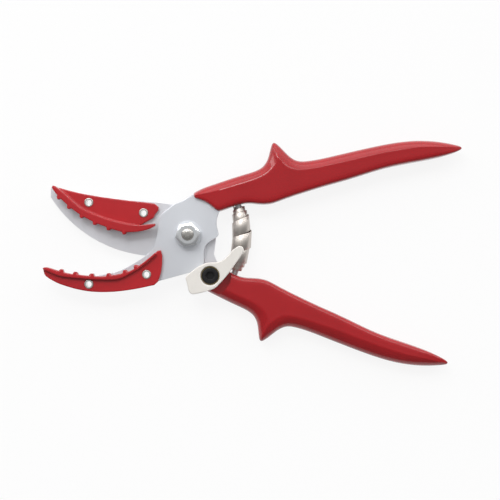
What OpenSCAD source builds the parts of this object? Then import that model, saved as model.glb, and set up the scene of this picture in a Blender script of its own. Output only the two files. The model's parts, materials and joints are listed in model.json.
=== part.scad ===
// Cut-and-hold pruning shears: a cutting blade and a hooked counter blade cross at a bolt, and each
// carries a toothed holding jaw that grips the cut stem. A double volute spring pushes the two grips
// apart, and a catch lever on the lower grip locks them together.
// The origin is on the pivot axis at the bolt head's back face, +Z points out of the front,
// the jaws point to -X and the grips to +X. The model is drawn fully open. Millimetres.

/* [Overall] */
// Length of the hooked jaw, from the pivot to its tip
jaw_len = 72; // [60:1:88]
// Length of a grip, from the pivot to its end
handle_len = 143.4; // [118:0.2:174]
// Angle between the two grips' axes when fully open
handle_spread = 43.5; // [42:0.5:50]

/* [Blades] */
// Thickness of the cutting blade
blade_t = 3.2; // [2.6:0.1:4]
// Thickness of the hooked counter blade
counter_t = 3.4; // [2.8:0.1:4.2]
// Running gap between the two blades
blade_gap = 0.05; // [0.02:0.01:0.15]
// Radius of the cutting edge
edge_r = 63.7; // [60:0.1:68]
// Width of the ground bevel behind the cutting edge
bevel_w = 4; // [2:0.5:6]
// Thickness left at the cutting edge
edge_land = 0.4; // [0.2:0.1:1]
// Length of each tang inside its grip, from the pivot
tang_len = 62; // [50:1:75]
// Play between a tang and its pocket
tang_play = 0.03; // [0.01:0.01:0.1]

/* [Pivot] */
// Diameter of the pivot bolt
pivot_d = 6; // [5:0.5:8]
// Radial running clearance on the pivot bolt
pivot_play = 0.04; // [0.02:0.01:0.08]
// Diameter of the bolt's flat head
bolt_head_d = 14; // [12:0.5:16]
// Thickness of the bolt's head
bolt_head_t = 3; // [2:0.1:4]
// Diameter of the pivot washers
washer_d = 13.6; // [12:0.2:16]
// Thickness of the pivot washers
washer_t = 0.75; // [0.5:0.05:1.2]
// Width of the pivot nut across its flats
nut_af = 11; // [10:0.5:13]
// Thickness of the pivot nut
nut_t = 5; // [4:0.25:6]

/* [Holding jaws] */
// Thickness of a holder's plate on its blade
holder_t = 2.6; // [2:0.1:3.2]
// Height of the toothed rim above the counter blade's front
rim_h = 4.6; // [3.6:0.1:6]
// Gap between the upper rim and the counter blade's front
rim_gap = 0.35; // [0.25:0.05:0.6]
// Width of a tooth at its root
tooth_w = 2.2; // [1.4:0.1:3]
// Height of a tooth
tooth_h = 1.3; // [0.8:0.1:1.6]
// Diameter of the hole through an eyelet
eyelet_bore = 2.9; // [2:0.1:3.2]
// Wall of an eyelet's tube
eyelet_wall = 0.4; // [0.3:0.05:0.6]
// Diameter of an eyelet's flange
eyelet_flange_d = 4.8; // [4.2:0.1:5.6]

/* [Grips] */
// Thickness of a grip
grip_t = 13.2; // [11:0.1:16]
// Radius of a grip's front end about the pivot
grip_front_r = 18.4; // [17.6:0.1:19]
// Distance of the front ridge from a grip's outer edge
ridge_in = 4.5; // [3:0.1:6]

/* [Catch] */
// Diameter of the catch screw's shank
catch_screw_d = 4; // [3:0.5:4.5]
// Diameter of the catch screw's head
catch_head_d = 8.4; // [7:0.2:8.6]
// Outer diameter of the catch bush
bush_d = 6; // [5.5:0.1:6.4]
// Radial running clearance between the catch lever and its bush
bush_play = 0.04; // [0.02:0.01:0.08]
// Thickness of the catch lever
lever_t = 5.75; // [5:0.25:7]
// Turn of the catch lever from unlocked to locked
lock_angle = 35; // [30:1:40]
// Angle that the grips close through
close_angle = 30; // [28:0.5:31]

/* [Spring] */
// Turns of the spring
spring_turns = 7; // [6:1:8]
// Outer radius of the spring's middle turn
spring_mid_r = 5; // [4.4:0.1:5.2]
// Outer radius of the spring's end turns
spring_end_r = 2.7; // [2.5:0.1:2.9]
// Thickness of the spring's ribbon
ribbon_t = 0.42; // [0.3:0.02:0.46]
// Width of the ribbon at the spring's ends
ribbon_end_w = 4; // [3:0.1:4.4]
// Width of the ribbon in the spring's middle
ribbon_mid_w = 7.2; // [6:0.1:7.6]
// How far the spring bows outwards
spring_bow = 2.5; // [1.5:0.1:3.5]
// Diameter of the studs that the spring's ends sit on
stud_d = 3.2; // [2.6:0.1:3.6]
// Height of a stud above its seat
stud_h = 3.5; // [2:0.1:5]

/* [Hidden] */
$fn = 96;
eps = 0.01;
fit = 0.02;                                     // play where a bolt passes through a clamped piece

// Heights of the stack, from the bolt head's back face
blade_z = bolt_head_t + washer_t + blade_gap;   // back of the cutting blade
blade_front = blade_z + blade_t;
counter_z = blade_front + blade_gap;            // back of the counter blade
counter_front = counter_z + counter_t;
nut_z = counter_front + washer_t;
spring_z = grip_t / 2 + 0.4;                    // height of the spring's axis

// The grips' axes, and how far the lower grip sits from the upper one's mirror image
axis_tilt = -4.15;
upper_axis = axis_tilt + handle_spread / 2;
lower_axis = axis_tilt - handle_spread / 2;
lower_shift = [1.3, 1.2];

// Rows of the grip: distance along its axis, outer edge, inner edge
grip_front_rows = [8, 10, 12.5, 15, 17];
grip_rows = [
    [18.3, 20.2, 6.2], [23, 20.3, 6.4], [28, 20.4, 6.6], [33, 20.4, 6], [38, 20.3, 3.8],
    [42, 20.3, 2.4], [45.6, 21.2, 2.1], [48.5, 23.3, 2.2], [50.4, 25.9, 2.3], [52.2, 28.9, 2.4],
    [53.4, 30.7, 2.4], [54.6, 31.5, 2.4], [55.8, 30.4, 2.5], [57.3, 27.7, 2.5], [58.6, 25, 2.5],
    [60.2, 21.9, 2.5], [63.3, 18.7, 2.5], [68.5, 17, 2.5], [76, 16.1, 2.3], [84, 15.5, 2],
    [94, 14.7, 2], [104, 13.8, 1.9], [114, 12.5, 0.9], [124, 10.2, -0.4], [133, 6.7, -1.2],
    [139, 3.6, -1.2], [142, 1.8, -0.9], [143.4, 0.7, -0.3]
];
// Share of the full thickness left at a share of the taper's length from the grip's end
grip_taper = 16;
grip_taper_table = [[0, 0.3], [0.1, 0.5], [0.25, 0.68], [0.5, 0.87], [0.75, 0.97], [1, 1]];
grip_root = 70;                                 // behind the horn, from where handle_len stretches it
jaw_root = 18;                                  // from where jaw_len stretches the jaws
nominal_handle = 143.4;
nominal_jaw = 72;

// The catch: screw axis, spur on the counter blade and tooth under the lever
catch_at = on_lower([17.6, 12.3]);
spur_r = 21.3;
spur_from = -72;
spur_to = -66;
catch_gap = 0.3;
shelf_z = counter_front + 0.25;                 // shelf of the lower grip under the lever
lever_z = shelf_z + 0.05;
arm_z = grip_t + 0.3;                           // underside of the lever's arm
tooth_z = counter_z + 0.35;
counterbore_r = catch_head_d / 2 + 0.5;
bush_flange_t = 0.5;
hub_floor = 2.1;                                // lever material under the counterbore

// The spring's seats, on the grips' inner edges
upper_seat = on_upper([28.15, 6.4]);
lower_seat = on_lower([27.75, 5.05]);

function rot(a, p) = [p.x * cos(a) - p.y * sin(a), p.x * sin(a) + p.y * cos(a)];
function polar(r, a) = [r * cos(a), r * sin(a)];
function about(c, a, p) = c + rot(a, p - c);
function on_upper(p) = rot(upper_axis, p);
function on_lower(p) = rot(lower_axis, [p.x + lower_shift.x, -p.y - lower_shift.y]);
// Stretch of a jaw point beyond the jaw's root, and of a grip row beyond the horn
function jaw(p) = p.x > -jaw_root ? p
    : [-jaw_root + (p.x + jaw_root) * (jaw_len - jaw_root) / (nominal_jaw - jaw_root), p.y];
function jaws(list) = [for (p = list) jaw(p)];
function grip_s(s) = s < grip_root ? s
    : grip_root + (s - grip_root) * (handle_len - grip_root) / (nominal_handle - grip_root);
function rev(list) = [for (i = [len(list) - 1:-1:0]) list[i]];
function arc(c, r, a0, a1, n) = [for (i = [0:n]) c + polar(r, a0 + (a1 - a0) * i / n)];

// Catmull-Rom curve through the points, with n steps between each pair
function pick(p, i) = p[max(0, min(len(p) - 1, i))];
function curve_at(p, i, t) =
    0.5 * (2 * p[i] + t * (pick(p, i + 1) - pick(p, i - 1))
        + t * t * (2 * pick(p, i - 1) - 5 * p[i] + 4 * pick(p, i + 1) - pick(p, i + 2))
        + t * t * t * (3 * p[i] - pick(p, i - 1) - 3 * pick(p, i + 1) + pick(p, i + 2)));
function curve(p, n = 3) = concat(
    [for (i = [0:len(p) - 2], k = [0:n - 1]) curve_at(p, i, k / n)], [p[len(p) - 1]]);

// ---------------------------------------------------------------- blades

// A tang's outline inside its grip, in the grip's own coordinates
function tang(g = 0) = [
    [22, 9 - g], [40, 9 - g], [tang_len - 3, 10.3 - g], [tang_len + g, 11.5],
    [tang_len + g, 13.5], [tang_len - 4, 14.6 + g], [30, 16.8 + g], [15, 17.8 + g]];

// The tang's pocket in its grip, open at the grip's front
function tang_pocket() = concat([[10, 0], [19.5, 6 - tang_play]], tang(tang_play), [[4, 18.6]]);

edge_c = [-15.2, 52.9];
counter_edge = jaws([
    [-20.3, -10], [-24.8, -13], [-29.9, -16], [-34.9, -18.3], [-38.9, -19.3], [-43, -20],
    [-50, -20.9], [-60, -19.8], [-66, -18.2], [-70, -17.4]]);
holder_outer = jaws([
    [-71.6, -18.2], [-70.4, -20.8], [-65, -24], [-60, -25.8], [-55, -27.2], [-48, -28.4],
    [-40, -28.6], [-33, -28.1], [-25, -26.9], [-18, -25.4]]);
skirt_t = 1.2;

// Points moved sideways off a curve by d
function beside(p, d) = [for (i = [0:len(p) - 1])
    let (v = pick(p, i + 1) - pick(p, i - 1)) p[i] + d * [-v.y, v.x] / norm(v)];

module counter_outline() {
    outer = beside(curve(holder_outer), skirt_t);
    polygon(concat(
        curve([[-3, 16.6], [-7.1, 15], [-9.7, 12.8], [-13.3, 10.1], [-14.8, 6.1], [-15.3, 2.1],
            [-16.5, -3.9], [-18, -7.5]], 2),
        curve(counter_edge, 2), outer,
        [[-14.8, -23.2], [-0.7, -19.3], polar(18.6, spur_from - 2), polar(spur_r, spur_from),
            polar(spur_r, spur_to), polar(17, spur_to + 2), [8, -14]],
        curve([[7.9, -9.4], [8.4, -6.2], [10, -4.2], [13.1, -2.1], [15.1, 0.1], [14.2, 4.3],
            [14.3, 7.9], [15.5, 11.4]], 2),
        [for (p = concat([[20, 6.9]], tang(), [[8, 18.3]])) on_upper(p)]));
}

module counter_blade() {
    color("silver") difference() {
        translate([0, 0, counter_z]) linear_extrude(counter_t) counter_outline();
        translate([0, 0, counter_z - 1]) cylinder(d = pivot_d + 2 * fit, h = counter_t + 2);
        for (p = lower_eyelets) translate([p.x, p.y, counter_z]) {
            translate([0, 0, -1]) cylinder(r = eyelet_r + fit, h = counter_t + 2);
            translate([0, 0, -1]) cylinder(d = eyelet_flange_d + 2 * fit, h = 1 + eyelet_sink);
        }
    }
}

module cutting_outline() {
    edge = arc(edge_c, edge_r, 212.4, 266, 40);
    polygon(concat(
        jaws([[-68.9, 23.8]]), [for (p = edge) jaw(p)],
        curve([[-14, -12.6], [-8, -15.4], [0, -17.2], [5, -18.6]], 2),
        [for (p = concat(rev(tang()), [[19.5, 6.6]])) on_lower(p)],
        curve([[12.7, -9.8], [13.2, -6.2], [13.7, -0.9], [12.6, 7.4], [8.3, 12.2],
            [2, 14.7], [-7.2, 15.05], [-17.3, 16.3]], 3),
        jaws([[-30, 17.2], [-45, 19.2], [-58, 21.6]])));
}

module cutting_blade() {
    color("gainsboro") difference() {
        translate([0, 0, blade_z]) linear_extrude(blade_t) cutting_outline();
        translate([0, 0, blade_z - 1]) cylinder(d = pivot_d + 2 * pivot_play, h = blade_t + 2);
        translate([catch_at.x, catch_at.y, blade_z - 1])
            cylinder(d = catch_screw_d + 2 * fit, h = blade_t + 2);
        for (p = upper_eyelets) translate([p.x, p.y, blade_z - 1])
            cylinder(r = eyelet_r + fit, h = blade_t + 2);
        bevel();
    }
}

// The ground bevel on the back of the cutting edge
module bevel() {
    intersection() {
        translate([edge_c.x, edge_c.y, blade_z]) rotate_extrude($fn = 360)
            polygon([[edge_r - bevel_w, -eps], [edge_r + 2, -eps],
                [edge_r + 2, (blade_t - edge_land) * (bevel_w + 2) / bevel_w]]);
        translate([-jaw_len - 10, -40, 0]) cube([jaw_len - 8, 80, 20]);
    }
}

// ---------------------------------------------------------------- pivot

module pivot_bolt() {
    end_z = nut_z + nut_t + 1.1;
    edge = 0.6;
    color("lightsteelblue") rotate_extrude() polygon([
        [0, 0], [bolt_head_d / 2 - edge, 0], [bolt_head_d / 2, edge],
        [bolt_head_d / 2, bolt_head_t], [pivot_d / 2, bolt_head_t],
        [pivot_d / 2, end_z - 0.9], [pivot_d / 2 - 0.5, end_z - 0.35], [1, end_z], [0, end_z]]);
}

module pivot_nut() {
    chamfer = 1.1;
    corner_r = nut_af / sqrt(3);
    color("whitesmoke") difference() {
        intersection() {
            translate([0, 0, nut_z]) rotate(12) cylinder(r = corner_r, h = nut_t, $fn = 6);
            translate([0, 0, nut_z]) rotate_extrude() polygon([
                [0, -eps], [corner_r + 1, -eps], [corner_r + 1, nut_t - chamfer - 0.35],
                [nut_af / 2 - chamfer, nut_t + eps], [0, nut_t + eps]]);
        }
        translate([0, 0, nut_z - 1]) cylinder(d = pivot_d + 2 * fit, h = nut_t + 2);
    }
}

module washer(z) {
    translate([0, 0, z]) difference() {
        cylinder(d = washer_d, h = washer_t);
        translate([0, 0, -1]) cylinder(d = pivot_d + 2 * fit, h = washer_t + 2);
    }
}

module pivot_washer() color("silver") washer(counter_front);

module pivot_back_washer() color("silver") washer(bolt_head_t);

// ---------------------------------------------------------------- holding jaws

eyelet_r = eyelet_bore / 2 + eyelet_wall;
eyelet_sink = 0.5;                              // flange thickness
upper_eyelets = jaws([[-49.6, 16], [-22.3, 10.8]]);
lower_eyelets = jaws([[-49.1, -24.6], [-20.5, -19.8]]);
panel_front = counter_front + holder_t;         // front of the lower holder's panel
upper_panel_front = blade_front + holder_t;
rim_z = counter_front + rim_gap;
rim_front = counter_front + rim_h;

upper_top = jaws([[-64.5, 23.4], [-58, 21.6], [-50, 19.9], [-40, 18.3], [-30, 17], [-20, 15.9],
    [-16.8, 15.4]]);
upper_ridge = jaws([[-66.6, 24.3], [-64.9, 23.4], [-60.8, 20], [-53.3, 13.4], [-44.6, 9.4],
    [-35.9, 6.5], [-27.2, 4.8], [-22, 4.8], [-15.9, 5.4]]);
upper_edge = jaws([[-67.4, 23.4], [-65.3, 20.4], [-61.2, 16.1], [-55.5, 11.3], [-49, 7.4],
    [-42.9, 4.6], [-35.9, 2.2], [-31.6, 1.2], [-25, 1.3], [-19.4, 2.6], [-16.3, 4.1]]);
upper_base = jaws([[-65, 22.2], [-60.2, 17.6], [-54.6, 12.7], [-48.2, 9], [-42.3, 6.3],
    [-35.5, 4], [-31, 3.2], [-25, 4.2], [-19.5, 7.2], [-17.3, 8.3]]);
lower_edge = jaws([[-72, -16.8], [-70, -16.2], [-65, -17.7], [-60, -19.1], [-53.6, -20],
    [-44, -20.8], [-37.4, -20.2], [-32, -19.1], [-26.6, -17.1], [-21.3, -13.3], [-16.1, -9]]);
lower_ridge = jaws([[-70.2, -17.8], [-65, -20], [-60, -21.1], [-50, -22], [-43.7, -22.4],
    [-36, -22.3], [-32, -21.2], [-28, -19.1], [-23.5, -16.4], [-16.8, -11]]);
upper_teeth = [-63.6, -58.6, -52.4, -45.8, -39, -31.4];
lower_teeth = [-62.6, -55.5, -47.7, -39, -31, -25.5];

// A tooth on a rim: the rim's point nearest to x, moved outwards along side
module tooth(edge, x, side) {
    points = curve(edge, 6);
    gaps = [for (p = points) abs(p.x - jaw([x, 0]).x)];
    i = search(min(gaps), gaps)[0];
    along = points[i + 1] - points[i - 1];
    translate(points[i]) rotate(atan2(along.y, along.x))
        polygon([[-tooth_w / 2, -side * 0.8], [-tooth_w * 0.2, side * tooth_h],
            [tooth_w * 0.2, side * tooth_h], [tooth_w / 2, -side * 0.8]]);
}

module upper_rim_outline() {
    polygon(concat(curve(upper_edge), rev(curve(upper_ridge))));
    for (x = upper_teeth) tooth(upper_edge, x, -1);
}

module upper_holder() {
    // the wall under the rim ends where the base's edge passes above the ridge
    wall = concat(curve([for (i = [0:7]) upper_base[i]]), rev(curve([for (i = [0:6]) upper_ridge[i]])));
    color("firebrick") difference() {
        union() {
            translate([0, 0, blade_front]) linear_extrude(holder_t)
                polygon(concat(curve(upper_base), [[-16.6, 10], [-14.8, 12.2], [-14.9, 13.9]],
                    rev(curve(upper_top))));
            translate([0, 0, blade_front]) linear_extrude(rim_z - blade_front + eps) polygon(wall);
            translate([0, 0, rim_z]) linear_extrude(rim_front - rim_z) upper_rim_outline();
        }
        for (p = upper_eyelets) translate([p.x, p.y, blade_front - 1])
            cylinder(r = eyelet_r + fit, h = holder_t + 2);
    }
}

module lower_holder() {
    right = [[-16.8, -25.2], [-14.8, -23.4], [-13.4, -19.1], [-12.8, -14.6], [-12.7, -10.6],
        [-13.4, -7.8], [-15, -8]];
    outer = curve(holder_outer);
    color("firebrick") difference() {
        union() {
            translate([0, 0, counter_front]) linear_extrude(holder_t)
                polygon(concat(curve(lower_edge), rev(right), rev(outer)));
            translate([0, 0, panel_front - eps]) linear_extrude(rim_front - panel_front + eps)
                polygon(concat(curve(lower_edge), [[-15.6, -9.8]], rev(curve(lower_ridge))));
            translate([0, 0, counter_front]) linear_extrude(rim_front - counter_front)
                for (x = lower_teeth) tooth(lower_edge, x, 1);
            translate([0, 0, counter_z + 0.3]) linear_extrude(counter_t - 0.3 + eps)
                polygon(concat(outer, rev(beside(outer, skirt_t - fit))));
        }
        for (p = lower_eyelets) translate([p.x, p.y, counter_front - 1])
            cylinder(r = eyelet_r + fit, h = holder_t + 2);
    }
}

// A hollow eyelet from z0 to z1, with a flange outside each end, or inside it where sunk
module eyelet(z0, z1, sunk) {
    back = sunk ? z0 : z0 - eyelet_sink;
    r = eyelet_bore / 2;
    flange_r = eyelet_flange_d / 2;
    rotate_extrude() polygon([
        [r, back], [flange_r, back], [flange_r, back + eyelet_sink],
        [eyelet_r, back + eyelet_sink], [eyelet_r, z1], [flange_r, z1],
        [flange_r - 0.3, z1 + eyelet_sink], [r, z1 + eyelet_sink]]);
}

module upper_holder_eyelets() {
    color("lightgray") for (p = upper_eyelets) translate(p)
        eyelet(blade_z, upper_panel_front, false);
}

module lower_holder_eyelets() {
    color("lightgray") for (p = lower_eyelets) translate(p) eyelet(counter_z, panel_front, true);
}

// ---------------------------------------------------------------- grips

// Rows with the rounded front end worked out from its radius, joined by a smooth curve
grip_stations = [for (row = curve(concat(
        [for (s = grip_front_rows)
            [s, 20.2 - 1.3 * pow((17 - s) / 9, 2), sqrt(pow(grip_front_r, 2) - s * s)]],
        grip_rows), 2))
    [grip_s(row[0]), row[1], row[2]]];

// Outline of the grip's cross-section at one row, as [distance from the axis, height]
function grip_ring(s, outer, inner) = let (
        h = grip_t / 2 * lookup((handle_len - s) / grip_taper, grip_taper_table), w = outer - inner, ridge = min(ridge_in, 0.45 * w),
        corner = min(1.4, 0.3 * w),
        half = [[outer, 0], [outer - 0.1 * ridge, 0.4 * h], [outer - 0.42 * ridge, 0.76 * h],
            [outer - ridge, h], [inner + corner, h], [inner + 0.3 * corner, h - 0.3 * corner],
            [inner, h - corner]])
    concat(half, [for (i = [6:-1:1]) [half[i].x, -half[i].y]]);

module grip_body() {
    n = 13;
    last = len(grip_stations) - 1;
    points = [for (row = grip_stations, p = grip_ring(row[0], row[1], row[2])) [row[0], p.x, h_mid + p.y]];
    sides = [for (i = [0:last - 1], k = [0:n - 1]) let (a = i * n + k, b = i * n + (k + 1) % n)
        each [[a, a + n, b], [b, a + n, b + n]]];
    polyhedron(points, concat(sides,
        [[for (k = [0:n - 1]) k]], [[for (k = [n - 1:-1:0]) last * n + k]]));
}
h_mid = grip_t / 2;

// Seat of a spring end: a round recess, and a bore for the stud, cut along the spring's end
module seat_cuts(seat, out) {
    translate([seat.x, seat.y, spring_z]) rotate([0, 90, out]) {
        translate([0, 0, -8]) cylinder(r = spring_end_r + 0.5, h = 8);
        translate([0, 0, -1]) cylinder(d = stud_d + 2 * fit, h = stud_sink + 1);
    }
}
stud_sink = 2.2;
upper_out = 105;                                // directions from the seats into the grips
lower_out = -110;

module upper_grip() {
    color("firebrick") difference() {
        rotate(upper_axis) grip_body();
        translate([0, 0, counter_z - tang_play]) linear_extrude(counter_t + 2 * tang_play)
            polygon([for (p = tang_pocket()) on_upper(p)]);
        seat_cuts(upper_seat, upper_out);
    }
}

module lower_grip() {
    color("firebrick") difference() {
        rotate(lower_axis) mirror([0, 1, 0]) translate([lower_shift.x, lower_shift.y, 0])
            grip_body();
        translate([0, 0, blade_z - tang_play]) linear_extrude(blade_t + 2 * tang_play)
            polygon([for (p = tang_pocket()) on_lower(p)]);
        // front end, cut back to the screw's boss
        translate([catch_at.x - 3.5 - 30, -60, -1]) cube([30, 60, grip_t + 2]);
        // room for the counter blade's spur as the grips close
        translate([0, 0, counter_z - 0.2]) linear_extrude(counter_t + 2) polygon(concat(
            [[0, 0]], arc([0, 0], spur_r + catch_gap, spur_from - close_angle - 1,
                spur_to + 0.8, 16)));
        // shelf under the lever
        translate([catch_at.x, catch_at.y, shelf_z]) cylinder(r = 10.3, h = grip_t);
        translate([catch_at.x - 30, catch_at.y - 14, shelf_z]) cube([30, 30, grip_t]);
        translate([catch_at.x, catch_at.y, 2]) cylinder(d = catch_screw_d + 2 * fit, h = grip_t);
        seat_cuts(lower_seat, lower_out);
    }
}

// ---------------------------------------------------------------- catch

// The lever's outline, unlocked
lever_left = [[9.6, -14], [6, -15.4], [2, -18.3], [-0.9, -20.7], [-0.8, -22.5], [0, -25.5],
    [0.5, -27.8], [1.5, -29.3]];
lever_right = [[2.8, -29.6], [6, -29], [10, -27.9], [13.3, -26.7], [16.1, -24.1], [20.1, -19.5],
    [22.1, -16.7], [24.5, -13.4], [27.4, -9], [27.7, -7], [26.2, -5.6], [24.6, -6],
    [22.1, -7.8], [20.1, -10.2], [18.1, -12.2], [15.7, -13.4], [12.9, -13.8]];

module lever_outline() polygon(concat(curve(lever_left, 2), curve(lever_right, 2)));

// The tooth that stops the spur, drawn where it is when locked and turned back to rest
module lever_tooth() {
    flank = spur_to - close_angle + 0.8;
    points = concat(arc([0, 0], spur_r - 1.2, flank, flank + 4.7, 3),
        arc([0, 0], spur_r + 0.7, flank + 4.7, flank, 3));
    linear_extrude(lever_z - tooth_z + eps)
        polygon([for (p = points) about(catch_at, lock_angle, p)]);
}

module catch_lever() {
    front = lever_z + lever_t;
    color("linen") difference() {
        union() {
            translate([0, 0, arm_z]) linear_extrude(front - arm_z) lever_outline();
            intersection() {
                translate([0, 0, lever_z]) linear_extrude(arm_z - lever_z + eps) lever_outline();
                union() {
                    translate([catch_at.x, catch_at.y, 0]) cylinder(r = 9.6, h = 30);
                    translate([catch_at.x - 20, catch_at.y - 12, 0]) cube([20, 24, 30]);
                }
            }
            translate([0, 0, tooth_z]) lever_tooth();
        }
        translate([catch_at.x, catch_at.y, 0]) {
            cylinder(d = bush_d + 2 * bush_play, h = 30);
            translate([0, 0, lever_z + hub_floor]) cylinder(r = counterbore_r, h = 30);
        }
    }
}

module catch_bush() {
    z = shelf_z;
    top = lever_z + hub_floor + 0.05;
    r = catch_screw_d / 2 + fit;
    color("goldenrod") translate(catch_at) rotate_extrude() polygon([
        [r, z], [bush_d / 2, z], [bush_d / 2, top], [counterbore_r - 0.15, top],
        [counterbore_r - 0.15, top + bush_flange_t], [r, top + bush_flange_t]]);
}

module catch_screw() {
    head_z = lever_z + hub_floor + 0.05 + bush_flange_t;
    head_t = 2.7;
    socket_af = 4;
    color("dimgray") translate(catch_at) difference() {
        rotate_extrude() polygon([
            [0, 2.2], [catch_screw_d / 2 - 0.4, 2.2], [catch_screw_d / 2, 2.6],
            [catch_screw_d / 2, head_z], [catch_head_d / 2, head_z],
            [catch_head_d / 2, head_z + head_t - 0.5], [catch_head_d / 2 - 0.5, head_z + head_t],
            [0, head_z + head_t]]);
        translate([0, 0, head_z + head_t - 2])
            cylinder(d = socket_af * 2 / sqrt(3), h = 3, $fn = 6);
    }
}

// ---------------------------------------------------------------- spring

// The spring's axis is an arc between its seats
chord = lower_seat - upper_seat;
chord_len = norm(chord);
axis_r = pow(chord_len, 2) / (8 * spring_bow) + spring_bow / 2;
chord_side = [-chord.y, chord.x] / chord_len;
axis_c = (upper_seat + lower_seat) / 2 + chord_side * (spring_bow - axis_r);
half_sweep = asin(chord_len / 2 / axis_r);
side_angle = atan2(chord_side.y, chord_side.x);
axis_len = 2 * half_sweep * PI / 180 * axis_r - 2 * fit;

half_turns = spring_turns / 2;
outer_lead = 2.7;                               // rise of a turn outside the middle two
middle_rise = (axis_len - ribbon_end_w) / 2 - outer_lead * (half_turns - 1);
steps_per_turn = 20;

// Place along the axis of turn u, counted from the middle
function rise(u) = sign(u) * (abs(u) < 1 ? middle_rise * abs(u)
    : middle_rise + outer_lead * (abs(u) - 1));
function ribbon_r(u) = spring_mid_r - (spring_mid_r - spring_end_r) * abs(u) / half_turns;
function ribbon_w(u) = ribbon_mid_w - (ribbon_mid_w - ribbon_end_w) * abs(u) / half_turns;
function spring_point(u, r, w) = let (
        a = side_angle - (rise(u) + w) / axis_r * 180 / PI,
        p = axis_c + polar(axis_r + r * cos(360 * u), a))
    [p.x, p.y, spring_z + r * sin(360 * u)];

module spring() {
    count = spring_turns * steps_per_turn;
    points = [for (i = [0:count]) let (u = i / steps_per_turn - half_turns, r = ribbon_r(u),
            w = ribbon_w(u) / 2)
        each [spring_point(u, r, -w), spring_point(u, r, w),
            spring_point(u, r - ribbon_t, w), spring_point(u, r - ribbon_t, -w)]];
    sides = [for (i = [0:count - 1], k = [0:3]) let (a = 4 * i + k, b = 4 * i + (k + 1) % 4)
        each [[a, b, a + 4], [b, b + 4, a + 4]]];
    color("rosybrown") polyhedron(points, concat(sides,
        [[3, 2, 1, 0], [4 * count, 4 * count + 1, 4 * count + 2, 4 * count + 3]]));
}

module spring_stud(seat, out) {
    edge = 0.5;
    color("gray") translate([seat.x, seat.y, spring_z]) rotate([0, 90, out]) rotate_extrude()
        polygon([[0, -stud_h], [stud_d / 2 - edge, -stud_h], [stud_d / 2, edge - stud_h],
            [stud_d / 2, stud_sink - 0.1], [0, stud_sink - 0.1]]);
}

module upper_spring_stud() spring_stud(upper_seat, upper_out);

module lower_spring_stud() spring_stud(lower_seat, lower_out);

counter_blade();
cutting_blade();
upper_grip();
lower_grip();
upper_holder();
lower_holder();
upper_holder_eyelets();
lower_holder_eyelets();
pivot_bolt();
pivot_nut();
pivot_washer();
pivot_back_washer();
catch_lever();
catch_screw();
catch_bush();
spring();
upper_spring_stud();
lower_spring_stud();
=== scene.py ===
"""Looks of the cut-and-hold pruning shears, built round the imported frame.

Lengths in the classes below are in millimetres, in the frame's own axes, and become metres where a
mesh or a node is made. The upper half is the frame's root; the lower half turns about the pivot.
"""

import json
import logging
import math
from dataclasses import dataclass, field
from enum import Enum
from typing import Callable, Sequence

import bmesh
import bpy
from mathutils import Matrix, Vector
from mathutils.bvhtree import BVHTree

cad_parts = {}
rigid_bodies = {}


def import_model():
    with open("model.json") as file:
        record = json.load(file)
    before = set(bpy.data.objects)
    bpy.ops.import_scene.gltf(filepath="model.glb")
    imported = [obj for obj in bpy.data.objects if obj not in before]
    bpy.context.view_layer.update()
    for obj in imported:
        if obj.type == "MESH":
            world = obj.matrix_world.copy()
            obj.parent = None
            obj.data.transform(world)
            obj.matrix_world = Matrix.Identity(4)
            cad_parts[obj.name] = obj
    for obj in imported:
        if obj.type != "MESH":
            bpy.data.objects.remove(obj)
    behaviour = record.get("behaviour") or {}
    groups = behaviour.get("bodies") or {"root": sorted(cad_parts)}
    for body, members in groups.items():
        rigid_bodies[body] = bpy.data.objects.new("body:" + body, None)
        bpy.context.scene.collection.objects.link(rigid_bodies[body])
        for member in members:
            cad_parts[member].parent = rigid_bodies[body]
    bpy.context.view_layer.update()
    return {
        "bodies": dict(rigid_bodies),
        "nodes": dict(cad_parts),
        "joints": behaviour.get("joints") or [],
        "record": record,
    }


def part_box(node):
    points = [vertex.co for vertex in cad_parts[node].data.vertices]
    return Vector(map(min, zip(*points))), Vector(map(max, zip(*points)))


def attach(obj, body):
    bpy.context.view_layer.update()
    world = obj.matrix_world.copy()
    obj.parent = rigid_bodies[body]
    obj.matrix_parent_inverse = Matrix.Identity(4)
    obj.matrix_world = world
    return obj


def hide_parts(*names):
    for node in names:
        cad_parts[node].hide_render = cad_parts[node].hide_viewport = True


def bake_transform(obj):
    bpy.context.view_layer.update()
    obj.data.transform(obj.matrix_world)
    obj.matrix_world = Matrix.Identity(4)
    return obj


LOG = logging.getLogger("shears")
MM = 0.001
Point2 = tuple[float, float]
Ring = list[Vector]


class Body(Enum):
    """The rigid bodies of the frame."""

    UPPER = "upper_half"
    LOWER = "lower_half"
    CATCH = "catch"


class Slot(Enum):
    """The record's material slots."""

    PLATE = "satin_steel"
    BLADE = "ground_steel"
    GRIP = "red_grip"
    HOLDER = "red_holder"
    EYELET = "nickel_eyelets"
    BOLT = "zinc_bolt"
    NUT = "bright_nut"
    LEVER = "white_lever"
    SCREW = "black_screw"
    BUSH = "brass_bush"
    SPRING = "spring_steel"
    STUD = "stud_steel"


# ------------------------------------------------------------------ small helpers


def rotate(angle_deg: float, point: Point2) -> Point2:
    """Turns a plan point about the pivot.

    Args:
        angle_deg: the turn, anticlockwise seen from the front.
        point: the plan point.

    Returns:
        The turned point.
    """
    c, s = math.cos(math.radians(angle_deg)), math.sin(math.radians(angle_deg))
    return (point[0] * c - point[1] * s, point[0] * s + point[1] * c)


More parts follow.
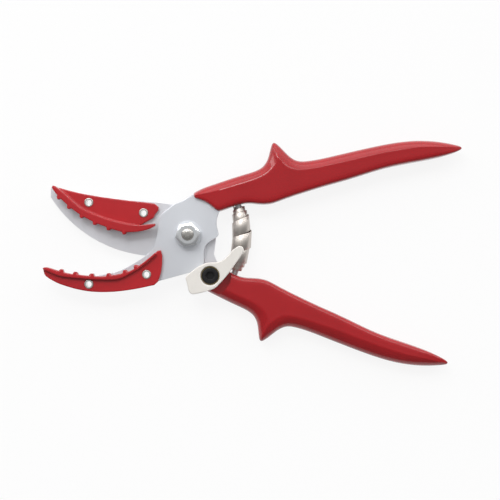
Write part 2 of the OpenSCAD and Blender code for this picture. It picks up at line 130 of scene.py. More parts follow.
def lookup(table: Sequence[Point2], x: float) -> float:
    """Reads a table of (x, value) by straight lines between its rows.

    Args:
        table: rows in rising x.
        x: where to read it.

    Returns:
        The value, held at the table's ends.
    """
    if x <= table[0][0]:
        return table[0][1]
    for (x0, y0), (x1, y1) in zip(table, table[1:]):
        if x <= x1:
            return y0 + (y1 - y0) * (x - x0) / (x1 - x0)
    return table[-1][1]


def deselect() -> None:
    """Leaves object mode with nothing selected."""
    if bpy.context.object and bpy.context.object.mode != "OBJECT":
        bpy.ops.object.mode_set(mode="OBJECT")
    bpy.ops.object.select_all(action="DESELECT")


def activate(obj: bpy.types.Object) -> None:
    """Selects one object alone and makes it active."""
    deselect()
    obj.select_set(True)
    bpy.context.view_layer.objects.active = obj


def apply_modifiers(obj: bpy.types.Object) -> None:
    """Applies every modifier of an object, in order."""
    activate(obj)
    for modifier in list(obj.modifiers):
        bpy.ops.object.modifier_apply(modifier=modifier.name)


def settle(obj: bpy.types.Object) -> None:
    """Bakes an object's place, turn and scale into its mesh."""
    activate(obj)
    bpy.ops.object.transform_apply(location=True, rotation=True, scale=True)


def smooth(obj: bpy.types.Object, angle_deg: float, keep_flats: bool = False) -> None:
    """Shades an object smooth except across edges sharper than the angle.

    Args:
        obj: the piece.
        angle_deg: the angle.
        keep_flats: whether large faces stay flat and their rounded edges take up the turn.
    """
    activate(obj)
    bpy.ops.object.shade_smooth_by_angle(angle=math.radians(angle_deg))
    if keep_flats:
        weigh = obj.modifiers.new("flats", "WEIGHTED_NORMAL")
        weigh.keep_sharp, weigh.weight = True, 100
        apply_modifiers(obj)


def loft(name: str, rings: Sequence[Ring]) -> bpy.types.Object:
    """Makes a closed tube by extruding a first outline from ring to ring.

    Args:
        name: the piece's name.
        rings: outlines in metres, each with the same number of points.

    Returns:
        The new piece, with its two ends capped.
    """
    deselect()
    bpy.ops.mesh.primitive_circle_add(vertices=len(rings[0]), radius=MM, fill_type="NGON")
    obj = bpy.context.object
    obj.name = name
    bpy.ops.object.mode_set(mode="EDIT")
    bpy.ops.mesh.select_mode(type="VERT")
    bpy.ops.mesh.select_all(action="SELECT")
    mesh = bmesh.from_edit_mesh(obj.data)
    mesh.verts.ensure_lookup_table()
    order = sorted(mesh.verts, key=lambda v: math.atan2(v.co.y, v.co.x) % (2 * math.pi))
    for vert, place in zip(order, rings[0]):
        vert.co = place
    bmesh.update_edit_mesh(obj.data)
    for before, ring in zip(rings, rings[1:]):
        bpy.ops.mesh.extrude_region_move()
        mesh = bmesh.from_edit_mesh(obj.data)
        for vert in [v for v in mesh.verts if v.select]:
            nearest = min(range(len(before)), key=lambda k: (before[k] - vert.co).length_squared)
            vert.co = ring[nearest]
        bmesh.update_edit_mesh(obj.data)
    bpy.ops.mesh.select_all(action="SELECT")
    bpy.ops.mesh.normals_make_consistent(inside=False)
    bpy.ops.object.mode_set(mode="OBJECT")
    return obj


def crease_ring_edges(obj: bpy.types.Object, chosen: Callable[[Vector, Vector], bool],
                      amount: float) -> None:
    """Creases the edges that a test picks.

    Args:
        obj: the piece.
        chosen: tells from an edge's two ends, in metres, whether it is creased.
        amount: the crease, from 0 to 1.
    """
    mesh = bmesh.new()
    mesh.from_mesh(obj.data)
    layer = mesh.edges.layers.float.get("crease_edge") or mesh.edges.layers.float.new("crease_edge")
    for edge in mesh.edges:
        if chosen(edge.verts[0].co, edge.verts[1].co):
            edge[layer] = amount
    mesh.to_mesh(obj.data)
    mesh.free()


def cut(obj: bpy.types.Object, cutter: bpy.types.Object) -> None:
    """Cuts a piece with another, which is then deleted."""
    modifier = obj.modifiers.new("cut", "BOOLEAN")
    modifier.operation, modifier.solver, modifier.object = "DIFFERENCE", "EXACT", cutter
    apply_modifiers(obj)
    bpy.data.objects.remove(cutter, do_unlink=True)


# ------------------------------------------------------------------ finishes


@dataclass(frozen=True)
class Finish:
    """A finish with an even colour that a fine noise varies."""

    name: str
    colour: tuple[float, float, float]
    metallic: float = 0.0
    roughness: float = 0.3
    coat: float = 0.0
    specular: float = 0.5
    sheen: float = 0.0
    mottle: float = 0.08
    grain: tuple[float, float, float] = (400.0, 400.0, 400.0)
    bump: float = 0.02

    def build(self) -> bpy.types.Material:
        """Makes the node material.

        Returns:
            The material, with colour, roughness and bump from object coordinates.
        """
        material = bpy.data.materials.new(self.name)
        material.use_nodes = True
        tree = material.node_tree
        shader = tree.nodes["Principled BSDF"]
        shader.inputs["Metallic"].default_value = self.metallic
        shader.inputs["Coat Weight"].default_value = self.coat
        shader.inputs["Specular IOR Level"].default_value = self.specular
        shader.inputs["Sheen Weight"].default_value = self.sheen
        shader.inputs["Sheen Roughness"].default_value = 0.25
        shader.inputs["Coat Roughness"].default_value = 0.06
        grain = self.noise(tree, self.grain, 4.0)
        cloud = self.noise(tree, (55.0, 55.0, 55.0), 2.0)
        self.link_colour(tree, shader, cloud)
        self.link_roughness(tree, shader, grain)
        bump = tree.nodes.new("ShaderNodeBump")
        bump.inputs["Strength"].default_value = self.bump
        bump.inputs["Distance"].default_value = 0.1 * MM
        tree.links.new(grain, bump.inputs["Height"])
        tree.links.new(bump.outputs["Normal"], shader.inputs["Normal"])
        return material

    def noise(self, tree: bpy.types.NodeTree, scale: tuple[float, float, float],
              detail: float) -> bpy.types.NodeSocket:
        """Adds a noise on object coordinates, stretched by its scale on each axis.

        Args:
            tree: the material's nodes.
            scale: cycles to a metre along X, Y and Z.
            detail: the noise's detail.

        Returns:
            The noise's factor socket.
        """
        place = tree.nodes.new("ShaderNodeTexCoord")
        stretch = tree.nodes.new("ShaderNodeMapping")
        stretch.inputs["Scale"].default_value = scale
        noise = tree.nodes.new("ShaderNodeTexNoise")
        noise.inputs["Scale"].default_value = 1.0
        noise.inputs["Detail"].default_value = detail
        tree.links.new(place.outputs["Object"], stretch.inputs["Vector"])
        tree.links.new(stretch.outputs["Vector"], noise.inputs["Vector"])
        return noise.outputs["Fac"]

    def link_colour(self, tree: bpy.types.NodeTree, shader: bpy.types.Node,
                    factor: bpy.types.NodeSocket) -> None:
        """Varies the base colour a little with a noise."""
        ramp = tree.nodes.new("ShaderNodeValToRGB")
        low, high = 1 - self.mottle, 1 + self.mottle
        ramp.color_ramp.elements[0].position, ramp.color_ramp.elements[1].position = 0.3, 0.7
        ramp.color_ramp.elements[0].color = (*[c * low for c in self.colour], 1)
        ramp.color_ramp.elements[1].color = (*[min(1.0, c * high) for c in self.colour], 1)
        tree.links.new(factor, ramp.inputs["Fac"])
        tree.links.new(ramp.outputs["Color"], shader.inputs["Base Color"])

    def link_roughness(self, tree: bpy.types.NodeTree, shader: bpy.types.Node,
                       factor: bpy.types.NodeSocket) -> None:
        """Varies the roughness a little with a noise."""
        spread = tree.nodes.new("ShaderNodeMapRange")
        spread.inputs["To Min"].default_value = self.roughness * 0.8
        spread.inputs["To Max"].default_value = self.roughness * 1.2
        tree.links.new(factor, spread.inputs["Value"])
        tree.links.new(spread.outputs["Result"], shader.inputs["Roughness"])


FINISHES: dict[Slot, Finish] = {
    Slot.PLATE: Finish("satin plate", (0.70, 0.72, 0.76), metallic=0.85, roughness=0.42,
                       mottle=0.02, grain=(2500.0, 2500.0, 2500.0), bump=0.05),
    Slot.BLADE: Finish("ground blade", (0.74, 0.745, 0.78), metallic=0.85, roughness=0.38,
                       mottle=0.05, grain=(3600.0, 130.0, 900.0), bump=0.22),
    Slot.GRIP: Finish("red grip", (0.36, 0.007, 0.011), roughness=0.16, coat=0.15, specular=0.45,
                      sheen=0.4,
                      mottle=0.05, bump=0.01),
    Slot.HOLDER: Finish("red holder", (0.41, 0.010, 0.015), roughness=0.24, coat=0.1, sheen=0.25,
                        specular=0.45, mottle=0.07, grain=(900.0, 900.0, 900.0), bump=0.04),
    Slot.EYELET: Finish("nickel eyelet", (0.62, 0.61, 0.58), metallic=1.0, roughness=0.22,
                        mottle=0.05, bump=0.04),
    Slot.BOLT: Finish("zinc bolt", (0.50, 0.485, 0.46), metallic=1.0, roughness=0.26,
                      mottle=0.1, grain=(1500.0, 1500.0, 1500.0), bump=0.08),
    Slot.NUT: Finish("bright nut", (0.88, 0.90, 0.92), metallic=1.0, roughness=0.2,
                     mottle=0.03, bump=0.02),
    Slot.LEVER: Finish("white lever", (0.76, 0.73, 0.685), roughness=0.3, coat=0.2,
                       mottle=0.03, grain=(900.0, 900.0, 900.0), bump=0.03),
    Slot.SCREW: Finish("black screw", (0.010, 0.010, 0.011), metallic=0.3, roughness=0.36,
                       specular=0.4, mottle=0.2, bump=0.08),
    Slot.BUSH: Finish("brass bush", (0.60, 0.47, 0.22), metallic=1.0, roughness=0.25,
                      mottle=0.08, bump=0.05),
    Slot.SPRING: Finish("spring steel", (0.58, 0.54, 0.50), metallic=1.0, roughness=0.42,
                        mottle=0.05, grain=(1200.0, 300.0, 300.0), bump=0.03),
    Slot.STUD: Finish("stud steel", (0.5, 0.5, 0.5), metallic=1.0, roughness=0.35,
                      mottle=0.06, bump=0.06),
}


@dataclass
class FinishShop:
    """Builds each finish once and dresses pieces with it."""

    made: dict[Slot, bpy.types.Material] = field(default_factory=dict)

    def dress(self, obj: bpy.types.Object, slot: Slot) -> None:
        """Gives a piece one finish.

        Args:
            obj: the piece.
            slot: the record's slot.
        """
        if slot not in self.made:
            self.made[slot] = FINISHES[slot].build()
        obj.data.materials.clear()
        obj.data.materials.append(self.made[slot])


# ------------------------------------------------------------------ pieces taken from the frame


@dataclass(frozen=True)
class Rounded:
    """A frame node that is copied, merged and given rounded edges.

    Attributes:
        node: the node's name, which the copy replaces.
        body: the body it rides on.
        slot: its finish.
        edge: radius of the rounding, in millimetres.
        segments: steps round the rounding.
        corner_deg: edges sharper than this are rounded.
        smooth_deg: edges sharper than this are still shaded as corners afterwards.
    """

    node: str
    body: Body
    slot: Slot
    edge: float
    segments: int = 3
    corner_deg: float = 35.0
    smooth_deg: float = 50.0

    def build(self, frame: dict, shop: FinishShop) -> bpy.types.Object:
        """Makes the copy and dresses it.

        Args:
            shop: the finishes.

        Returns:
            The finished piece.
        """
        source = frame["nodes"][self.node]
        obj = bpy.data.objects.new(f"{self.node}_body", source.data.copy())
        bpy.context.scene.collection.objects.link(obj)
        self.merge(obj)
        bevel = obj.modifiers.new("edges", "BEVEL")
        bevel.width, bevel.segments = self.edge * MM, self.segments
        bevel.limit_method, bevel.angle_limit = "ANGLE", math.radians(self.corner_deg)
        bevel.use_clamp_overlap = True
        bevel.harden_normals = False
        apply_modifiers(obj)
        smooth(obj, self.smooth_deg, keep_flats=True)
        shop.dress(obj, self.slot)
        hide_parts(self.node)
        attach(obj, self.body.value)
        return obj

    def merge(self, obj: bpy.types.Object) -> None:
        """Joins the copy's loose triangles and dissolves its flat faces' inner edges."""
        activate(obj)
        bpy.ops.object.mode_set(mode="EDIT")
        bpy.ops.mesh.select_all(action="SELECT")
        bpy.ops.mesh.remove_doubles(threshold=0.002 * MM)
        bpy.ops.mesh.dissolve_limited(angle_limit=math.radians(0.5))
        bpy.ops.mesh.normals_make_consistent(inside=False)
        bpy.ops.object.mode_set(mode="OBJECT")


ROUNDED: tuple[Rounded, ...] = (
    Rounded("counter_blade", Body.UPPER, Slot.PLATE, 0.18, 2),
    Rounded("cutting_blade", Body.LOWER, Slot.BLADE, 0.12, 2),
    Rounded("upper_holder_eyelets", Body.LOWER, Slot.EYELET, 0.12),
    Rounded("lower_holder_eyelets", Body.UPPER, Slot.EYELET, 0.12),
    Rounded("pivot_bolt", Body.UPPER, Slot.BOLT, 0.3),
    Rounded("pivot_nut", Body.UPPER, Slot.NUT, 0.15, 2, smooth_deg=24),
    Rounded("pivot_washer", Body.UPPER, Slot.PLATE, 0.12, 2),
    Rounded("pivot_back_washer", Body.UPPER, Slot.PLATE, 0.12, 2),
    Rounded("catch_screw", Body.LOWER, Slot.SCREW, 0.2),
    Rounded("catch_bush", Body.LOWER, Slot.BUSH, 0.1, 2),
    Rounded("upper_spring_stud", Body.UPPER, Slot.STUD, 0.2),
    Rounded("lower_spring_stud", Body.LOWER, Slot.STUD, 0.2),
)


@dataclass(frozen=True)
class Bumps:
    """Rounded bumps along a holder's toothed rim.

    Attributes:
        places: x of each bump, in millimetres.
        side: 1 where the bumps point towards +Y, -1 where they point towards -Y.
        radius: radius of a bump.
        low: height of a bump's foot.
        high: height of its top.
        sink: how far its centre stands out of the rim.
        probe_z: height at which the rim is looked for.
    """

    places: tuple[float, ...]
    side: int
    radius: float = 1.2
    low: float = 11.2
    high: float = 14.7
    sink: float = 0.1
    probe_z: float = 13.0

    def add(self, obj: bpy.types.Object) -> None:
        """Joins the bumps to a holder's mesh.

        Args:
            obj: the holder's copy.
        """
        bpy.context.view_layer.update()
        tree = BVHTree.FromObject(obj, bpy.context.evaluated_depsgraph_get())
        pegs = []
        for x in self.places:
            left, right = self.edge(tree, x - 2.0), self.edge(tree, x + 2.0)
            if left is None or right is None:
                continue
            run = (right - left).normalized()
            out = Vector((-run.y, run.x)) * self.side
            spot = (left + right) / 2 + out * self.sink
            pegs.append(rod((spot.x, spot.y, (self.low + self.high) / 2), self.radius,
                            self.high - self.low, Vector((0, 0, 1))))
        activate(obj)
        for peg in pegs:
            peg.select_set(True)
        bpy.ops.object.join()

    def edge(self, tree: BVHTree, x: float) -> Vector | None:
        """The rim's edge at x, as a plan point in millimetres."""
        start = Vector((x * MM, 60 * MM * self.side, self.probe_z * MM))
        hit = tree.ray_cast(start, Vector((0, -self.side, 0)))[0]
        return None if hit is None else Vector((hit.x, hit.y)) / MM


@dataclass(frozen=True)
class Moulded(Rounded):
    """A frame node whose copy is remeshed finely and softened all over, as a moulding is.

    Attributes:
        voxel: size of the fine mesh, in millimetres.
        passes: how many times it is softened.
        bumps: bumps that are joined to it first.
    """

    voxel: float = 0.22
    passes: int = 8
    bumps: Bumps | None = None

    def build(self, frame: dict, shop: FinishShop) -> bpy.types.Object:
        """Makes the copy, adds its bumps, softens it and dresses it."""
        source = frame["nodes"][self.node]
        obj = bpy.data.objects.new(f"{self.node}_body", source.data.copy())
        bpy.context.scene.collection.objects.link(obj)
        self.merge(obj)
        if self.bumps:
            self.bumps.add(obj)
        remesh = obj.modifiers.new("fine", "REMESH")
        remesh.mode, remesh.voxel_size = "VOXEL", self.voxel * MM
        soften = obj.modifiers.new("soften", "SMOOTH")
        soften.factor, soften.iterations = 0.5, self.passes
        apply_modifiers(obj)
        activate(obj)
        bpy.ops.object.shade_smooth()
        shop.dress(obj, self.slot)
        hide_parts(self.node)
        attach(obj, self.body.value)
        return obj


# ------------------------------------------------------------------ grips


@dataclass(frozen=True)
class GripFrame:
    """A grip's own axes: distance s along it from the pivot, and n outwards from its axis.

    Attributes:
        axis_deg: direction of the grip's axis.
        side: 1 where outwards is anticlockwise of the axis, -1 where it is clockwise.
        shift: how far the grip sits from the upper one's mirror image, in (s, n).
    """

    axis_deg: float
    side: int
    shift: Point2 = (0.0, 0.0)

    def plan(self, s: float, n: float) -> Point2:
        """The plan point, in millimetres, at (s, n)."""
        return rotate(self.axis_deg, (s + self.shift[0], self.side * (n + self.shift[1])))

    def point(self, s: float, n: float, z: float) -> Vector:
        """The point in metres at (s, n) and height z in millimetres."""
        x, y = self.plan(s, n)
        return Vector((x * MM, y * MM, z * MM))


UPPER_FRAME = GripFrame(17.6, 1)
LOWER_FRAME = GripFrame(-25.9, -1, (1.3, 1.2))


LOWER_RIDGE: tuple[Point2, ...] = (
    (8, 17.2), (20, 15.9), (34, 15.3), (41, 15.2), (46, 15.6), (49.6, 16.8), (52.3, 18.6),
    (53.6, 20.5), (54.3, 23.0), (55.2, 20.0), (56.6, 17.0), (58.5, 14.9), (61, 13.5), (65, 12.3),
    (70, 11.3), (84, 9.4), (104, 7.5), (116, 6.1), (124, 4.7), (133, 2.3), (140, 0.7),
    (143.4, 0.1))


@dataclass
class GripSections:
    """The grip's outline, measured on the frame's upper grip, with the moulded ridge added.

    Attributes:
        ridge: rows of (s, n) that the crisp front ridge runs through.
        probe_z: height at which the inner wall is measured, clear of the spring's recess.
    """

    ridge: tuple[Point2, ...] = (
        (8, 17.6), (20, 16.4), (34, 16.1), (41, 16.2), (46, 17.0), (49.6, 18.5), (52.3, 20.3),
        (53.6, 21.9), (54.3, 24.0), (54.9, 21.3), (55.8, 18.6), (57.2, 16.7), (59, 15.4),
        (62, 14.1), (68, 12.7), (84, 11.1), (104, 9.6), (116, 7.9), (124, 6.3), (133, 3.5),
        (140, 1.2), (143.4, 0.2))
    probe_z: float = 2.2
    stations: tuple[tuple[float, float, int], ...] = (
        (8.2, 17, 5), (18.4, 44, 10), (45.5, 64, 18), (66, 128, 13), (131, 141, 6), (142.3, 143.35, 3))

    def along(self) -> list[float]:
        """The places s of the cross-sections, closer together round the horn and the end."""
        places: list[float] = []
        for start, end, count in self.stations:
            steps = max(1, count - 1)
            places += [start + (end - start) * i / steps for i in range(count)]
        return places

    def measure(self, node: bpy.types.Object, mid_z: float) -> list[tuple[float, float, float]]:
        """Reads the outline off the frame's upper grip.

        Args:
            node: the frame's upper grip.
            mid_z: half its thickness, in millimetres.

        Returns:
            Rows of (s, outer n, inner n) in millimetres.
        """
        tree = BVHTree.FromObject(node, bpy.context.evaluated_depsgraph_get())
        rows = []
        for s in self.along():
            outer = self.probe(tree, s, 60.0, -30.0, mid_z)
            inner = self.probe(tree, s, -30.0, 60.0, self.probe_z if s < 60 else mid_z)
            if outer is not None and inner is not None:
                rows.append((s, outer, inner))
        return rows

    def probe(self, tree: BVHTree, s: float, start: float, end: float,
              z: float) -> float | None:
        """Looks across the grip at s from n = start towards n = end for its wall."""
        a, b = UPPER_FRAME.point(s, start, z), UPPER_FRAME.point(s, end, z)
        hit = tree.ray_cast(a, (b - a).normalized())[0]
        if hit is None:
            return None
        return start + math.copysign((hit - a).length / MM, end - start)


@dataclass
class GripShell:
    """A moulded grip: a lofted shell with a crisp ridge, a thumb horn and soft inner edges."""

    name: str
    node: str
    body: Body
    axes: GripFrame
    thickness: float
    length: float = 143.4
    taper: float = 16.0
    taper_table: tuple[Point2, ...] = (
        (0, 0.3), (0.1, 0.5), (0.25, 0.68), (0.5, 0.87), (0.75, 0.97), (1, 1))

    def ring(self, s: float, outer: float, inner: float, ridge: float) -> Ring:
        """One cross-section, from the outer edge over the front to the inner wall and back.

        Args:
            s: its place along the grip.
            outer: n of the outer edge.
            inner: n of the inner wall.
            ridge: n of the front ridge.

        Returns:
            Its points in metres.
        """
        h = self.thickness / 2 * lookup(self.taper_table, (self.length - s) / self.taper)
        ridge = min(max(ridge, inner + 0.45 * (outer - inner)), outer - 0.2 * min(3, outer - inner))
        slope, face = outer - ridge, ridge - inner
        corner = min(2.4, 0.4 * face)
        half = [
            (outer, 0.0), (outer - 0.07 * slope, 0.34), (outer - 0.27 * slope, 0.62),
            (outer - 0.62 * slope, 0.86), (ridge, 1.0), (ridge - 0.3 * face, 0.985),
            (inner + corner, 0.985), (inner + 0.32 * corner, 0.93), (inner, 0.7), (inner, 0.0)]
        back = [(n, -k) for n, k in reversed(half[1:-1])]
        mid = self.thickness / 2
        return [self.axes.point(s, n, mid + k * h) for n, k in half + back]

    def build(self, rows: list[tuple[float, float, float]], ridge: Sequence[Point2],
              cutters: Sequence[Callable[[], bpy.types.Object]], shop: FinishShop
              ) -> bpy.types.Object:
        """Lofts, creases, smooths and cuts the shell.

        Args:
            rows: the outline's rows of (s, outer n, inner n).
            ridge: rows of (s, n) of the front ridge.
            cutters: functions that make the solids cut out of it.
            shop: the finishes.

        Returns:
            The finished piece.
        """
        rings = [self.ring(s, o, i, lookup(ridge, s)) for s, o, i in rows]
        obj = loft(self.name, rings)
        fronts = [ring[4] for ring in rings] + [ring[-4] for ring in rings]
        self.crease(obj, fronts)
        bpy.context.view_layer.update()
        subdivide = obj.modifiers.new("smooth", "SUBSURF")
        subdivide.levels = subdivide.render_levels = 2
        apply_modifiers(obj)
        for make in cutters:
            cut(obj, make())
        smooth(obj, 28)
        shop.dress(obj, Slot.GRIP)
        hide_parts(self.node)
        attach(obj, self.body.value)
        return obj

    def crease(self, obj: bpy.types.Object, ridge_points: Sequence[Vector]) -> None:
        """Creases the edges that run along the front and back ridges."""
        keys = {tuple(round(c / (0.01 * MM)) for c in p) for p in ridge_points}

        def on_ridge(a: Vector, b: Vector) -> bool:
            """Tells whether both ends of an edge lie on a ridge."""
            return all(tuple(round(c / (0.01 * MM)) for c in p) in keys for p in (a, b))

        crease_ring_edges(obj, on_ridge, 0.75)


def rod(centre: tuple[float, float, float], radius: float, depth: float,
        direction: Vector) -> bpy.types.Object:
    """Adds a cylinder for cutting.

    Args:
        centre: its centre in millimetres.
        radius: its radius in millimetres.
        depth: its length in millimetres.
        direction: its axis.

    Returns:
        The cylinder, with its place in its mesh.
    """
    deselect()
    bpy.ops.mesh.primitive_cylinder_add(
        vertices=96, radius=radius * MM, depth=depth * MM,
        location=[c * MM for c in centre],
        rotation=direction.to_track_quat("Z", "Y").to_euler())
    obj = bpy.context.object
    settle(obj)
    return obj


def block(low: tuple[float, float, float], high: tuple[float, float, float]) -> bpy.types.Object:
    """Adds a box for cutting, between two corners in millimetres."""
    deselect()
    bpy.ops.mesh.primitive_cube_add(
        size=1, location=[(a + b) / 2 * MM for a, b in zip(low, high)],
        scale=[(b - a) * MM for a, b in zip(low, high)])
    obj = bpy.context.object
    settle(obj)
    return obj


MOULDED: tuple[Moulded, ...] = (
    Moulded("upper_holder", Body.LOWER, Slot.HOLDER, 0, passes=9,
            bumps=Bumps((-63.6, -58.6, -52.4, -45.8, -39, -31.4), -1)),
    Moulded("lower_holder", Body.UPPER, Slot.HOLDER, 0, passes=9,
            bumps=Bumps((-62.6, -55.5, -47.7, -39, -31, -25.5), 1)),
    Moulded("catch_lever", Body.CATCH, Slot.LEVER, 0, voxel=0.25, passes=16),
)


# ------------------------------------------------------------------ spring


@dataclass
class VoluteSpring:
    """A double volute spring, lofted as one still piece; in the real tool its turns slide into each
    other as the grips close.

    Attributes:
        turns: how many turns.
        mid_r: outer radius of the middle turn.
        end_r: outer radius of the end turns.
        ribbon_t: thickness of the ribbon.
        end_w: width of the ribbon at the ends.
        gap: gap between the two halves of the middle turn.
        full_turns: turns from the middle over which the ribbon keeps its full width.
        bow: how far the axis bows outwards.
        outer_lead: rise of a turn outside the middle two.
        height: z of the axis.
        steps: sections to a turn.
        mid_share: part of one end's travel that a middle turn takes.
        centre_share: how far the spring's middle follows the lower half.
    """

    turns: float = 7
    mid_r: float = 5.0
    end_r: float = 2.7
    ribbon_t: float = 0.42
    end_w: float = 4.0
    gap: float = 0.12
    full_turns: float = 0.6
    bow: float = 2.5
    outer_lead: float = 2.7
    height: float = 7.0
    steps: int = 40
    mid_share: float = 0.016
    centre_share: float = 0.64

    def __post_init__(self) -> None:
        """Works out the arc of the axis between the two seats."""
        upper, lower = Vector(UPPER_FRAME.plan(28.15, 6.4)), Vector(LOWER_FRAME.plan(27.75, 5.05))
        chord = lower - upper
        side = Vector((-chord.y, chord.x)) / chord.length
        self.arc_r = chord.length ** 2 / (8 * self.bow) + self.bow / 2
        self.centre = (upper + lower) / 2 + side * (self.bow - self.arc_r)
        self.side_deg = math.degrees(math.atan2(side.y, side.x))
        self.length = 2 * math.asin(chord.length / 2 / self.arc_r) * self.arc_r - 0.04
        self.half = self.turns / 2
        self.middle_rise = (self.length - self.end_w) / 2 - self.outer_lead * (self.half - 1)
        self.ends = (upper, lower)

    def rise(self, turn: float) -> float:
        """Place along the axis of a turn counted from the middle."""
        a = abs(turn)
        size = self.middle_rise * a if a < 1 else self.middle_rise + self.outer_lead * (a - 1)
        return math.copysign(size, turn)

    def width(self, turn: float) -> float:
        """Width of the ribbon at a turn, widest in the middle."""
        wide = self.middle_rise - self.gap
        outer = max(0.0, abs(turn) - self.full_turns) / (self.half - self.full_turns)
        return wide - (wide - self.end_w) * outer

    def share(self, turn: float) -> float:
        """How far a turn follows the lower half, from 0 to 1."""
        a = abs(turn)
        outer = (1 - self.mid_share) / (self.half - 1)
        size = self.mid_share * a if a < 1 else self.mid_share + outer * (a - 1)
        if turn < 0:
            return self.centre_share * (1 - size)
        return self.centre_share + (1 - self.centre_share) * size

    def place(self, turn: float, radius: float, offset: float) -> Vector:
        """A point of the ribbon in metres, offset along the axis from the turn's middle."""
        angle = math.radians(self.side_deg) - (self.rise(turn) + offset) / self.arc_r
        out = self.arc_r + radius * math.cos(2 * math.pi * turn)
        x, y = self.centre.x + out * math.cos(angle), self.centre.y + out * math.sin(angle)
        return Vector((x, y, self.height + radius * math.sin(2 * math.pi * turn))) * MM

    def build(self, shop: FinishShop) -> bpy.types.Object:
        """Lofts the ribbon and works out each turn's share of the closing, which spread does not use.
        """
        count = int(self.turns * self.steps)
        rings: list[Ring] = []
        shares: list[float] = []
        for i in range(count + 1):
            turn = i / self.steps - self.half
            k = abs(turn) / self.half
            r = self.mid_r - (self.mid_r - self.end_r) * k
            w = self.width(turn) / 2
            t, e = self.ribbon_t, 0.12
            rings.append([self.place(turn, r - dr, dw) for dr, dw in (
                (e, -w), (0, -w + e), (0, w - e), (e, w), (t - e, w), (t, w - e), (t, -w + e),
                (t - e, -w))])
            shares.append(self.share(turn))
        obj = loft("volute_spring", rings)
        smooth(obj, 50)
        shop.dress(obj, Slot.SPRING)
        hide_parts("spring")
        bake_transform(obj)
        self.spread(obj, rings, shares)
        return obj

    def spread(self, obj: bpy.types.Object, rings: Sequence[Ring],
               shares: Sequence[float]) -> None:
        """Takes each turn's share of the closing and does nothing with it."""

    @staticmethod
    def key(point: Vector) -> tuple[int, int, int]:
        """A point's place rounded to a tenth of a micrometre."""
        return (round(point.x * 1e7), round(point.y * 1e7), round(point.z * 1e7))


# ------------------------------------------------------------------ the whole tool


@dataclass
class Shears:
    """The whole tool, built round the frame."""

    frame: dict
    shop: FinishShop = field(default_factory=FinishShop)
    shelf_r: float = 10.3
    seat_r: float = 3.2

    def build(self) -> None:
        """Builds every visible piece in order and reports each one."""
        for piece in ROUNDED:
            piece.build(self.frame, self.shop)
            LOG.info("%s: rounded", piece.node)
        for piece in MOULDED:
            piece.build(self.frame, self.shop)
            LOG.info("%s: moulded", piece.node)
        self.build_grips()
        VoluteSpring().build(self.shop)
        LOG.info("spring: lofted")

    def build_grips(self) -> None:
        """Builds both grips from the outline of the frame's upper grip."""
        low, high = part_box("upper_grip")
        thickness = (high.z - low.z) / MM
        sections = GripSections()
        rows = sections.measure(self.frame["nodes"]["upper_grip"], thickness / 2)
        upper_seat = self.seat(UPPER_FRAME, 28.15, 6.4, 105)
        lower_seat = self.seat(LOWER_FRAME, 27.75, 5.05, -110)
        upper = GripShell("upper_grip_shell", "upper_grip", Body.UPPER, UPPER_FRAME, thickness)
        upper.build(rows, sections.ridge, [upper_seat], self.shop)
        LOG.info("upper grip: %d sections", len(rows))
        lower = GripShell("lower_grip_shell", "lower_grip", Body.LOWER, LOWER_FRAME, thickness)
        lower.build(rows, LOWER_RIDGE, [self.front_end, self.shelf, self.shelf_side, lower_seat],
                    self.shop)
        LOG.info("lower grip: %d sections", len(rows))

    def catch_plan(self) -> Point2:
        """Plan place of the catch's axis, in millimetres."""
        joint = next(j for j in self.frame["joints"] if j["name"] == "catch_pivot")
        return (joint["pos_m"][0] / MM, joint["pos_m"][1] / MM)

    def shelf_z(self) -> float:
        """Height of the shelf under the catch lever, which its bush stands on."""
        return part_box("catch_bush")[0].z / MM

    def front_end(self) -> bpy.types.Object:
        """The stretch in front of the lower grip, cut away beside the screw's boss."""
        x, _ = self.catch_plan()
        return block((x - 33.5, -60, -5), (x - 3.5, 5, 30))

    def shelf(self) -> bpy.types.Object:
        """The round recess in which the lever turns."""
        x, y = self.catch_plan()
        return rod((x, y, self.shelf_z() + 15), self.shelf_r, 30, Vector((0, 0, 1)))

    def shelf_side(self) -> bpy.types.Object:
        """The recess's open side, towards the jaws."""
        x, y = self.catch_plan()
        return block((x - 30, y - 14, self.shelf_z()), (x, y + 16, 30))

    def seat(self, axes: GripFrame, s: float, n: float,
             out_deg: float) -> Callable[[], bpy.types.Object]:
        """A function that makes the round recess for one end of the spring."""
        def make() -> bpy.types.Object:
            """Adds the recess's cutter, whose floor is the seat."""
            x, y = axes.plan(s, n)
            out = Vector((math.cos(math.radians(out_deg)), math.sin(math.radians(out_deg)), 0))
            return rod((x - out.x * 5, y - out.y * 5, 7), self.seat_r, 10, out)
        return make


# ------------------------------------------------------------------ studio


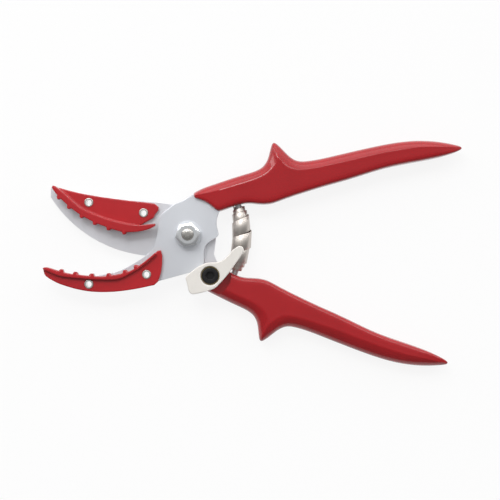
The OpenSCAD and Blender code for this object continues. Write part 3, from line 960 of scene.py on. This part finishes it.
@dataclass(frozen=True)
class Studio:
    """The floor, the lights and the camera.

    Attributes:
        look_at: plan point under the camera, in millimetres.
        height: the camera's height, in millimetres.
        wide: width seen at the reference height, in millimetres.
        reference: height of the plane that is that wide.
    """

    look_at: Point2 = (30.8, -7.7)
    height: float = 608.0
    wide: float = 250.0
    reference: float = 8.0

    def build(self) -> None:
        """Sets up the whole studio."""
        self.floor()
        self.world()
        self.lamp("key", (-180, 420, 620), 300, 1.5)
        self.camera()
        bpy.context.scene.view_settings.view_transform = "Standard"

    def camera(self) -> None:
        """Adds the camera, straight above and facing down."""
        data = bpy.data.cameras.new("camera")
        data.sensor_width = 36
        data.lens = data.sensor_width * (self.height - self.reference) / self.wide
        data.clip_start, data.clip_end = 10 * MM, 10
        camera = bpy.data.objects.new("camera", data)
        camera.location = (self.look_at[0] * MM, self.look_at[1] * MM, self.height * MM)
        bpy.context.scene.collection.objects.link(camera)
        bpy.context.scene.camera = camera

    def lamp(self, name: str, place: tuple[float, float, float], size: float,
             power: float) -> None:
        """Adds a soft square lamp that faces the tool.

        Args:
            name: the lamp's name.
            place: its place in millimetres.
            size: its side in millimetres.
            power: its power in watts.
        """
        data = bpy.data.lights.new(name, "AREA")
        data.size, data.energy = size * MM, power
        lamp = bpy.data.objects.new(name, data)
        lamp.location = Vector(place) * MM
        aim = Vector((*self.look_at, 0)) * MM - lamp.location
        lamp.rotation_euler = aim.to_track_quat("-Z", "Y").to_euler()
        bpy.context.scene.collection.objects.link(lamp)

    def world(self) -> None:
        """Surrounds the tool with light that is brightest on the upper grip's side."""
        world = bpy.data.worlds.new("studio")
        bpy.context.scene.world = world
        world.use_nodes = True
        tree = world.node_tree
        place = tree.nodes.new("ShaderNodeTexCoord")
        split = tree.nodes.new("ShaderNodeSeparateXYZ")
        half = tree.nodes.new("ShaderNodeMath")
        half.operation = "MULTIPLY_ADD"
        half.inputs[1].default_value, half.inputs[2].default_value = 0.5, 0.5
        shades = tree.nodes.new("ShaderNodeValToRGB")
        stops = ((0.0, 0.24), (0.4, 0.3), (0.5, 0.48), (0.7, 0.7), (0.73, 4.5), (0.76, 4.5),
                 (0.79, 0.9), (1.0, 2.0))
        while len(shades.color_ramp.elements) < len(stops):
            shades.color_ramp.elements.new(0.5)
        for element, (place_at, level) in zip(shades.color_ramp.elements, stops):
            element.position, element.color = place_at, (level, level, level, 1)
        tree.links.new(place.outputs["Generated"], split.inputs["Vector"])
        tree.links.new(split.outputs["Y"], half.inputs[0])
        tree.links.new(half.outputs[0], shades.inputs["Fac"])
        background = tree.nodes["Background"]
        tree.links.new(shades.outputs["Color"], background.inputs["Color"])
        background.inputs["Strength"].default_value = 1.0

    def floor(self) -> None:
        """Adds the pale floor, which keeps the tool's shadow."""
        deselect()
        bpy.ops.mesh.primitive_plane_add(size=6, location=(0, 0, -0.02 * MM))
        floor = bpy.context.object
        floor.name = "floor"
        material = bpy.data.materials.new("pale floor")
        material.use_nodes = True
        tree = material.node_tree
        shader = tree.nodes["Principled BSDF"]
        shader.inputs["Base Color"].default_value = (0.86, 0.86, 0.86, 1)
        shader.inputs["Roughness"].default_value = 0.9
        shader.inputs["Specular IOR Level"].default_value = 0.1
        glow = tree.nodes.new("ShaderNodeEmission")
        glow.inputs["Color"].default_value = (1, 1, 1, 1)
        rays = tree.nodes.new("ShaderNodeLightPath")
        either = tree.nodes.new("ShaderNodeMath")
        either.operation = "MAXIMUM"
        seen = tree.nodes.new("ShaderNodeMath")
        seen.operation = "MULTIPLY"
        seen.inputs[1].default_value = 0.88
        mix = tree.nodes.new("ShaderNodeMixShader")
        tree.links.new(rays.outputs["Is Camera Ray"], either.inputs[0])
        tree.links.new(rays.outputs["Is Glossy Ray"], either.inputs[1])
        tree.links.new(either.outputs[0], seen.inputs[0])
        tree.links.new(seen.outputs[0], mix.inputs["Fac"])
        tree.links.new(shader.outputs[0], mix.inputs[1])
        tree.links.new(glow.outputs[0], mix.inputs[2])
        tree.links.new(mix.outputs[0], tree.nodes["Material Output"].inputs["Surface"])
        floor.data.materials.append(material)


def main() -> None:
    """Builds the tool and its studio."""
    logging.basicConfig(level=logging.INFO, format="%(message)s")
    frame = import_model()
    Studio().build()
    Shears(frame).build()


if __name__ == "__main__":
    main()
